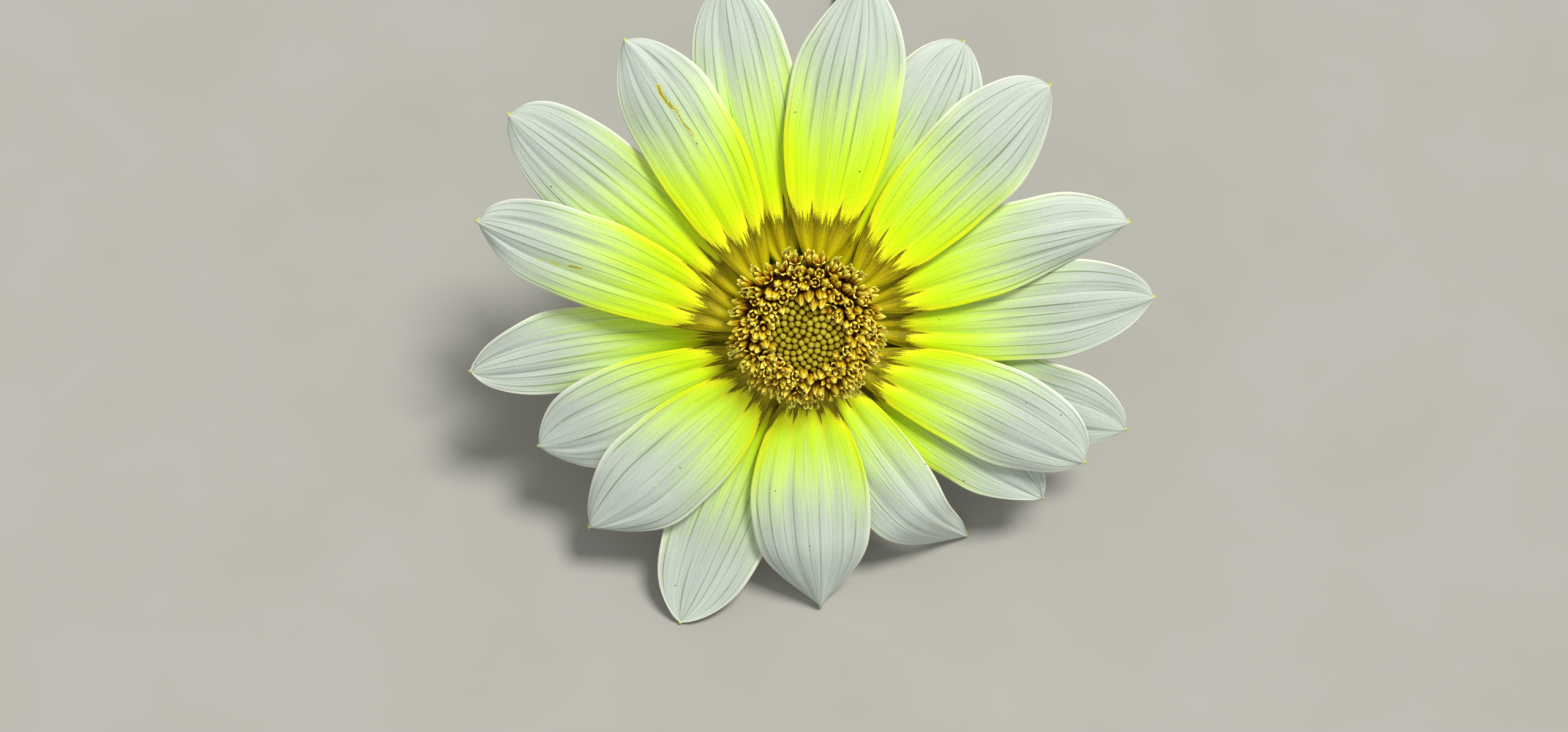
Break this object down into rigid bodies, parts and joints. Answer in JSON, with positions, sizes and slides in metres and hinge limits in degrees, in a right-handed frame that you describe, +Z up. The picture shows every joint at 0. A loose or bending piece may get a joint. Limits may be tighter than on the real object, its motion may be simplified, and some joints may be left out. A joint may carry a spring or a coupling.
{
  "type": "gazania flower",
  "caption": "Single picked daisy-form flower with overlapping pale petals, a yellow heart, a domed disc and a bare stalk, lying on a surface.",
  "frame": {"origin": "middle of the flower's footprint, on the surface it lies on", "axes": "+Z up, +Y from the bloom towards the cut end of its stalk, +X to the bloom's right when seen from its face"},
  "size_m": [0.094, 0.1087, 0.0596],
  "materials": {
    "petal": "satin, translucent, white with a yellow heart and brown-olive claws",
    "disc_bud": "matte olive yellow",
    "disc_floret": "matte golden",
    "green_bract": "matte green",
    "green_stalk": "matte green with fine hairs"
  },
  "bodies": {
    "root": {"ray_floret_01": "petal", "ray_floret_02": "petal", "ray_floret_03": "petal", "ray_floret_04": "petal", "ray_floret_05": "petal", "ray_floret_06": "petal", "ray_floret_07": "petal", "ray_floret_08": "petal", "ray_floret_09": "petal", "ray_floret_10": "petal", "ray_floret_11": "petal", "ray_floret_12": "petal", "ray_floret_13": "petal", "ray_floret_14": "petal", "ray_floret_15": "petal", "ray_floret_16": "petal", "ray_floret_17": "petal", "ray_floret_18": "petal", "disc_buds": "disc_bud", "disc_florets": "disc_floret", "involucre": "green_bract", "scape": "green_stalk"}
  },
  "joints": []
}
